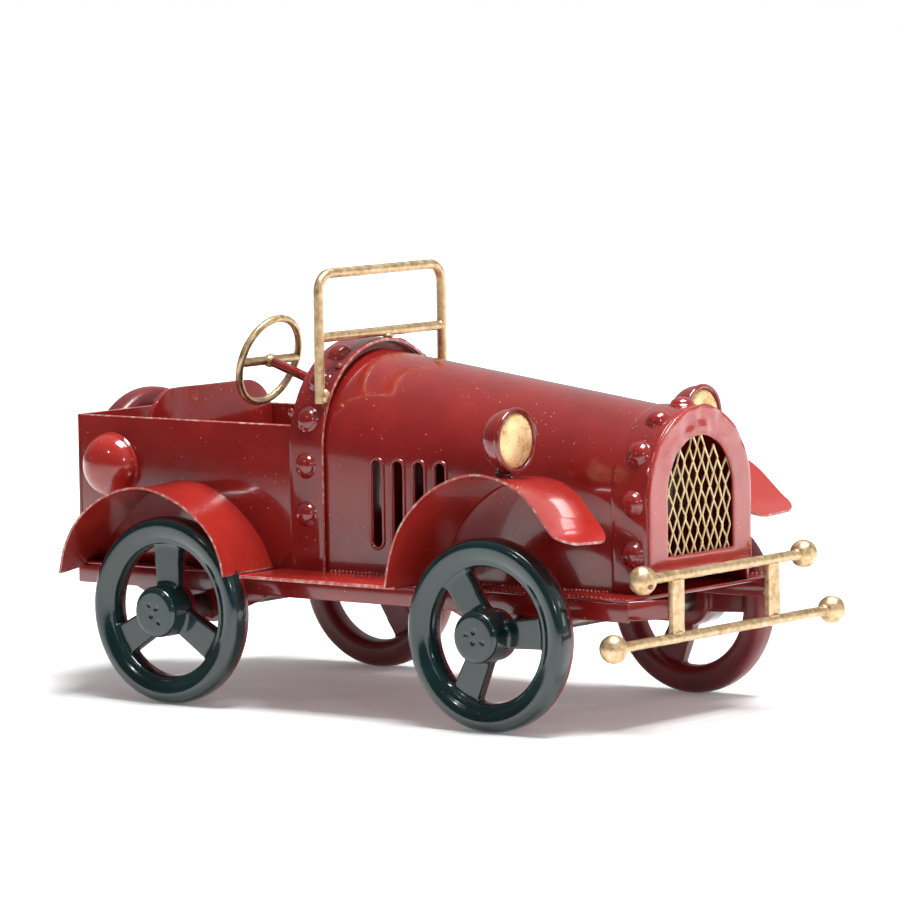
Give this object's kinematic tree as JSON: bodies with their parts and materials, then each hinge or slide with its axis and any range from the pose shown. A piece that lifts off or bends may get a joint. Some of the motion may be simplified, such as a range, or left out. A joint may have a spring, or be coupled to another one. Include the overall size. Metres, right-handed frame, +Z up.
{
  "type": "pedal car",
  "caption": "Vintage sheet-metal pedal car in display size: open tub, riveted cowl, louvred bonnet, arched grille, turning three-spoke wheels and steering wheel.",
  "frame": {"origin": "on the ground, under the centre of the overall box", "axes": "+X to the front of the car along its length, +Y to the car's left across its width, +Z up"},
  "size_m": [0.1724, 0.0864, 0.0945],
  "materials": {
    "red_enamel": "gloss red enamel with slight orange peel",
    "green_enamel": "gloss dark bottle-green enamel",
    "gold_paint": "satin gold metallic paint, brushed on",
    "axle_steel": "plain drawn steel"
  },
  "bodies": {
    "chassis": {"deck_plate": "red_enamel", "side_rail_left": "red_enamel", "side_rail_right": "red_enamel", "cross_rail_front": "red_enamel", "cross_rail_rear": "red_enamel", "axle_hangers_front": "red_enamel", "axle_hangers_rear": "red_enamel", "axle_front": "axle_steel", "axle_rear": "axle_steel", "axle_spacers": "axle_steel", "retaining_nuts": "axle_steel", "tub_floor": "red_enamel", "tub_side_left": "red_enamel", "tub_side_right": "red_enamel", "tub_rear_panel": "red_enamel", "side_domes": "red_enamel", "seat_back": "red_enamel", "seat_base": "red_enamel", "seat_riser": "red_enamel", "spare_wheel": "green_enamel", "spare_bolt": "axle_steel", "spare_nut": "gold_paint", "cowl_band": "red_enamel", "cowl_rivets": "red_enamel", "dash_panel": "red_enamel", "steering_bush": "red_enamel", "bonnet": "red_enamel", "radiator_shell": "red_enamel", "radiator_rivets": "red_enamel", "radiator_face": "red_enamel", "grille_mesh": "gold_paint", "fender_front_left": "red_enamel", "fender_front_right": "red_enamel", "fender_rear_left": "red_enamel", "fender_rear_right": "red_enamel", "running_board_left": "red_enamel", "running_board_right": "red_enamel", "headlamp_left": "red_enamel", "headlamp_right": "red_enamel", "reflector_left": "gold_paint", "reflector_right": "gold_paint", "lamp_posts": "red_enamel", "windscreen_frame": "gold_paint", "windscreen_bar": "gold_paint", "bumper_upper_bar": "gold_paint", "bumper_lower_bar": "gold_paint", "bumper_uprights": "gold_paint", "bumper_brackets": "red_enamel"},
    "wheel_front_left": {"wheel_front_left": "green_enamel", "hub_cap_front_left": "green_enamel"},
    "wheel_front_right": {"wheel_front_right": "green_enamel", "hub_cap_front_right": "green_enamel"},
    "wheel_rear_left": {"wheel_rear_left": "green_enamel", "hub_cap_rear_left": "green_enamel"},
    "wheel_rear_right": {"wheel_rear_right": "green_enamel", "hub_cap_rear_right": "green_enamel"},
    "steering_wheel": {"steering_ring": "gold_paint", "steering_crossbar": "gold_paint", "steering_column": "red_enamel", "column_collars": "axle_steel"}
  },
  "joints": [
    {"name": "spin_front_left", "type": "hinge", "parent": "chassis", "child": "wheel_front_left", "pos_m": [0.04925, 0.037, 0.0205], "axis": [0, 1, 0], "continuous": true},
    {"name": "spin_front_right", "type": "hinge", "parent": "chassis", "child": "wheel_front_right", "pos_m": [0.04925, -0.037, 0.0205], "axis": [0, 1, 0], "continuous": true},
    {"name": "spin_rear_left", "type": "hinge", "parent": "chassis", "child": "wheel_rear_left", "pos_m": [-0.03775, 0.037, 0.0205], "axis": [0, 1, 0], "continuous": true},
    {"name": "spin_rear_right", "type": "hinge", "parent": "chassis", "child": "wheel_rear_right", "pos_m": [-0.03775, -0.037, 0.0205], "axis": [0, 1, 0], "continuous": true},
    {"name": "steering_turn", "type": "hinge", "parent": "chassis", "child": "steering_wheel", "pos_m": [-0.03915, 0, 0.0723], "axis": [0.9511, 0, -0.309], "range_deg": [-120, 120]}
  ]
}
